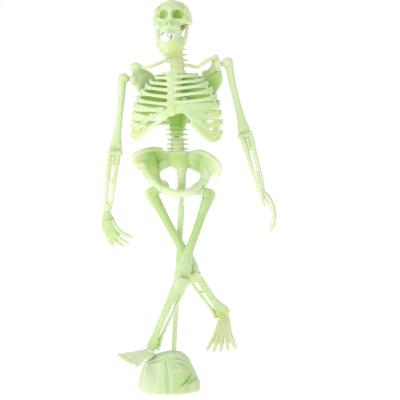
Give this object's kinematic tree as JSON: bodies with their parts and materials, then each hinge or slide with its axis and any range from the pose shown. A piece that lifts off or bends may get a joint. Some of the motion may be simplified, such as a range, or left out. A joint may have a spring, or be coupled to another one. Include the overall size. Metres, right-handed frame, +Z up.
{
  "type": "skeleton figure",
  "caption": "Jointed skeleton figure in pale green glow plastic, legs crossed, held by a slim rod on a rock-shaped stand.",
  "frame": {"origin": "middle of the stand's flat underside", "axes": "+Z up, the figure faces -Y, its left hand is toward +X"},
  "size_m": [0.1697, 0.0978, 0.3806],
  "materials": {
    "bone": "satin moulded glow plastic, slightly see-through",
    "pale_bone": "satin moulded glow plastic, slightly see-through",
    "pin": "satin moulded glow plastic, slightly see-through",
    "stand": "satin moulded glow plastic, slightly see-through",
    "plate": "satin moulded glow plastic, slightly see-through"
  },
  "bodies": {
    "stand": {"rock_base": "stand", "base_plate": "plate", "support_rod": "stand", "rod_pin": "stand"},
    "pelvis": {"pelvis": "bone", "lumbar_spine": "bone"},
    "chest": {"chest_spine": "bone", "ribs_back_right": "bone", "ribs_back_left": "bone", "ribs_front": "bone", "neck": "pale_bone", "collarbone_right": "pale_bone", "collarbone_left": "pale_bone", "shoulder_blade_right": "bone", "shoulder_blade_left": "bone"},
    "head": {"skull_face": "bone", "skull_back": "bone"},
    "jaw": {"jaw": "bone"},
    "shoulder_right": {"shoulder_peg_right": "pin"},
    "upper_arm_right": {"upper_arm_right": "bone"},
    "forearm_right": {"forearm_right": "bone", "elbow_pin_right": "pin"},
    "hand_right": {"hand_right": "bone"},
    "hip_right": {"hip_peg_right": "pin"},
    "thigh_right": {"thigh_right": "bone", "knee_pin_right": "pin"},
    "shin_right": {"shin_right": "bone"},
    "foot_right": {"foot_right": "bone"},
    "shoulder_left": {"shoulder_peg_left": "pin"},
    "upper_arm_left": {"upper_arm_left": "bone"},
    "forearm_left": {"forearm_left": "bone", "elbow_pin_left": "pin"},
    "hand_left": {"hand_left": "bone"},
    "hip_left": {"hip_peg_left": "pin"},
    "thigh_left": {"thigh_left": "bone", "knee_pin_left": "pin"},
    "shin_left": {"shin_left": "bone"},
    "foot_left": {"foot_left": "bone"}
  },
  "joints": [
    {"name": "pelvis_swivel", "type": "hinge", "parent": "stand", "child": "pelvis", "pos_m": [0.01288, 0, 0.19619], "axis": [0.0523, 0, 0.9986], "range_deg": [-12, 40]},
    {"name": "waist_twist", "type": "hinge", "parent": "pelvis", "child": "chest", "pos_m": [0.00732, 0.00938, 0.247], "axis": [0, 0, 1], "range_deg": [-40, 40]},
    {"name": "head_turn", "type": "hinge", "parent": "chest", "child": "head", "pos_m": [0.00405, 0.00641, 0.3427], "axis": [-0.0991, -0.0901, 0.991], "range_deg": [-60, 60]},
    {"name": "jaw_hinge", "type": "hinge", "parent": "head", "child": "jaw", "pos_m": [0.00347, 0.00851, 0.35718], "axis": [0.9945, -0.1045, 0], "range_deg": [-3, 12]},
    {"name": "shoulder_raise_right", "type": "hinge", "parent": "chest", "child": "shoulder_right", "pos_m": [-0.03604, 0.00439, 0.3034], "axis": [0, 1, 0], "range_deg": [-5, 30]},
    {"name": "shoulder_swing_right", "type": "hinge", "parent": "shoulder_right", "child": "upper_arm_right", "pos_m": [-0.03604, 0.00439, 0.3034], "axis": [-0.9928, 0, 0.1201], "range_deg": [-40, 100]},
    {"name": "elbow_bend_right", "type": "hinge", "parent": "upper_arm_right", "child": "forearm_right", "pos_m": [-0.05324, 0.00235, 0.23198], "axis": [-0.9928, 0, 0.1201], "range_deg": [0, 90]},
    {"name": "wrist_twist_right", "type": "hinge", "parent": "forearm_right", "child": "hand_right", "pos_m": [-0.06014, -0.00126, 0.17501], "axis": [-0.1199, -0.0628, -0.9908], "range_deg": [-60, 60]},
    {"name": "hip_spread_right", "type": "hinge", "parent": "pelvis", "child": "hip_right", "pos_m": [-0.00791, -0.00683, 0.19728], "axis": [0.1562, 0.9877, -0.0082], "range_deg": [-3, 3]},
    {"name": "hip_swing_right", "type": "hinge", "parent": "hip_right", "child": "thigh_right", "pos_m": [-0.00791, -0.00683, 0.19728], "axis": [-0.9154, 0.1905, -0.3547], "range_deg": [-2, 1]},
    {"name": "knee_bend_right", "type": "hinge", "parent": "thigh_right", "child": "shin_right", "pos_m": [0.02162, -0.01199, 0.11828], "axis": [0.9154, -0.1905, 0.3547], "range_deg": [-40, 20]},
    {"name": "foot_twist_right", "type": "hinge", "parent": "shin_right", "child": "foot_right", "pos_m": [0.05264, 0.03863, 0.0654], "axis": [0.3902, 0.6367, -0.6651], "range_deg": [-40, 40]},
    {"name": "shoulder_raise_left", "type": "hinge", "parent": "chest", "child": "shoulder_left", "pos_m": [0.04883, 0.0025, 0.3174], "axis": [0, -1, 0], "range_deg": [-8, 28]},
    {"name": "shoulder_swing_left", "type": "hinge", "parent": "shoulder_left", "child": "upper_arm_left", "pos_m": [0.04883, 0.0025, 0.3174], "axis": [-0.969, 0, -0.247], "range_deg": [-40, 75]},
    {"name": "elbow_bend_left", "type": "hinge", "parent": "upper_arm_left", "child": "forearm_left", "pos_m": [0.07509, 0.00047, 0.24879], "axis": [-0.969, 0, -0.247], "range_deg": [0, 85]},
    {"name": "wrist_twist_left", "type": "hinge", "parent": "forearm_left", "child": "hand_left", "pos_m": [0.08873, -0.01558, 0.19528], "axis": [0.2372, -0.279, -0.9305], "range_deg": [-60, 60]},
    {"name": "hip_spread_left", "type": "hinge", "parent": "pelvis", "child": "hip_left", "pos_m": [0.03055, -0.01293, 0.19526], "axis": [-0.1562, -0.9877, 0.0082], "range_deg": [-8, 0]},
    {"name": "hip_swing_left", "type": "hinge", "parent": "hip_left", "child": "thigh_left", "pos_m": [0.03055, -0.01293, 0.19526], "axis": [-0.8601, -0.4401, 0.2581], "range_deg": [0, 75]},
    {"name": "knee_bend_left", "type": "hinge", "parent": "thigh_left", "child": "shin_left", "pos_m": [0.01323, -0.02687, 0.11374], "axis": [0.8601, 0.4401, -0.2581], "range_deg": [0, 40]},
    {"name": "foot_twist_left", "type": "hinge", "parent": "shin_left", "child": "foot_left", "pos_m": [-0.01696, -0.00983, 0.0422], "axis": [-0.3797, 0.2143, -0.8999], "range_deg": [-40, 18]}
  ]
}
